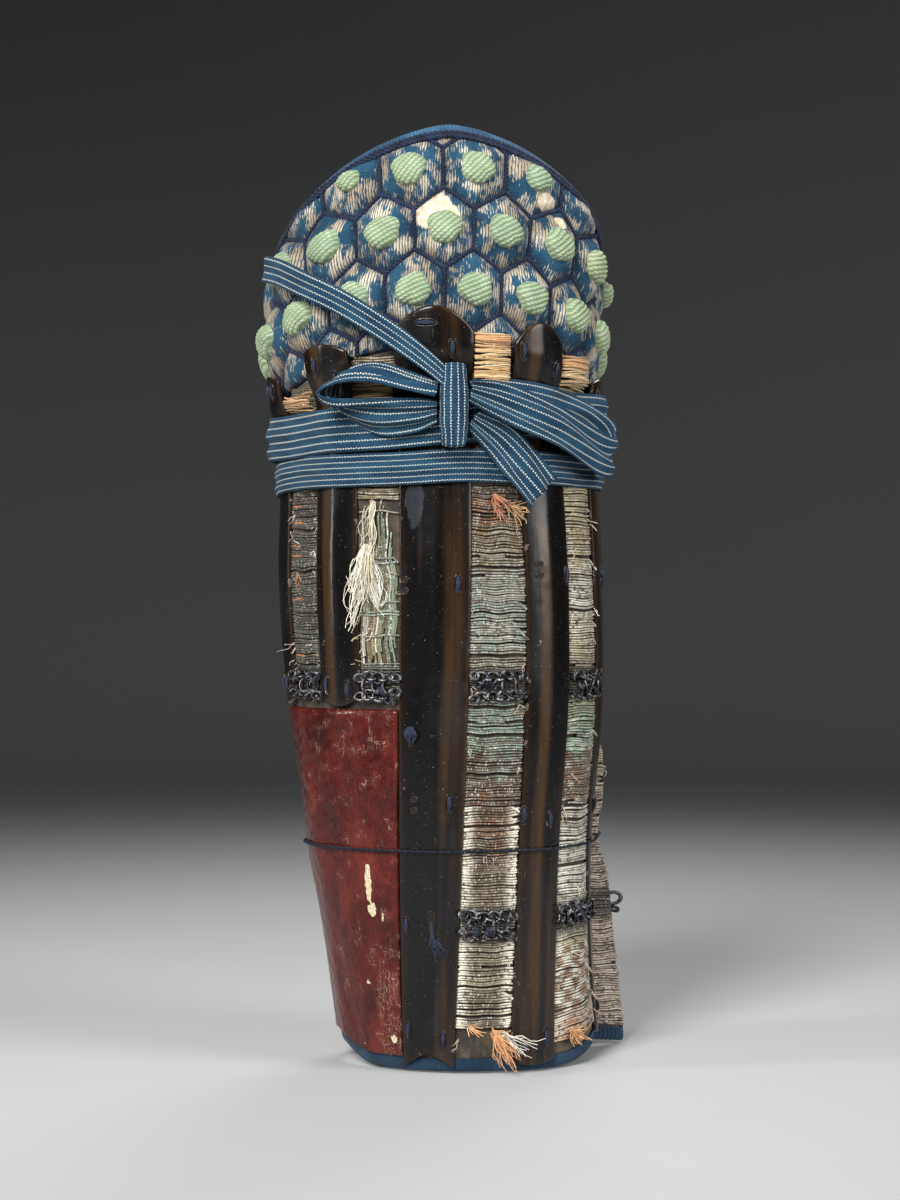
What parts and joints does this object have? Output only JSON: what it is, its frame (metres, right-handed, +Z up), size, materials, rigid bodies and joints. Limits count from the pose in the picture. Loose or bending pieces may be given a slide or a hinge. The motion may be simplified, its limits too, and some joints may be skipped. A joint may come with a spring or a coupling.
{
  "type": "samurai shin guard",
  "caption": "Splint shin guard of Japanese armour: brocade wall open behind, lacquered iron splints, mail, leather guard, quilted hexagon knee guard and a striped ribbon tied in a bow.",
  "frame": {"origin": "on the floor under the middle of the part's bounding box, at the level of the hem's underside", "axes": "+Z up along the shin, -Y to the front of the leg, -X to the inner side of a left leg, where the leather is"},
  "size_m": [0.161, 0.1195, 0.3904],
  "materials": {
    "brocade": "ribbed silk brocade with gilt threads, worn",
    "tape": "ribbed cotton tape",
    "leather": "glossy red-brown, finely crackled",
    "quilt": "indigo cotton over hexagon plates, pale silk knots",
    "lacquer": "black-brown lacquer on iron, glossy, chipped",
    "mail": "dark iron wire",
    "ribbon": "indigo cotton ribbon with white warp stripes",
    "cord": "dark twisted cord"
  },
  "bodies": {
    "root": {"shin_cloth": "brocade", "hem_binding": "tape", "back_binding_inner": "tape", "back_binding_outer": "tape", "leather_guard": "leather", "knee_guard": "quilt", "knee_binding": "tape", "splint_inner_back": "lacquer", "splint_inner": "lacquer", "splint_shin": "lacquer", "splint_outer": "lacquer", "splint_outer_back": "lacquer", "mail_middle_inner_back": "mail", "mail_middle_inner": "mail", "mail_middle_outer": "mail", "mail_middle_outer_back": "mail", "mail_lower_outer": "mail", "mail_lower_outer_back": "mail", "tie_lower_turn": "ribbon", "tie_upper_turn": "ribbon", "tie_knot": "ribbon", "bow_inner_loop": "ribbon", "bow_outer_loop": "ribbon", "bow_upper_end": "ribbon", "bow_lower_end": "ribbon", "lower_cord": "cord"}
  },
  "joints": []
}
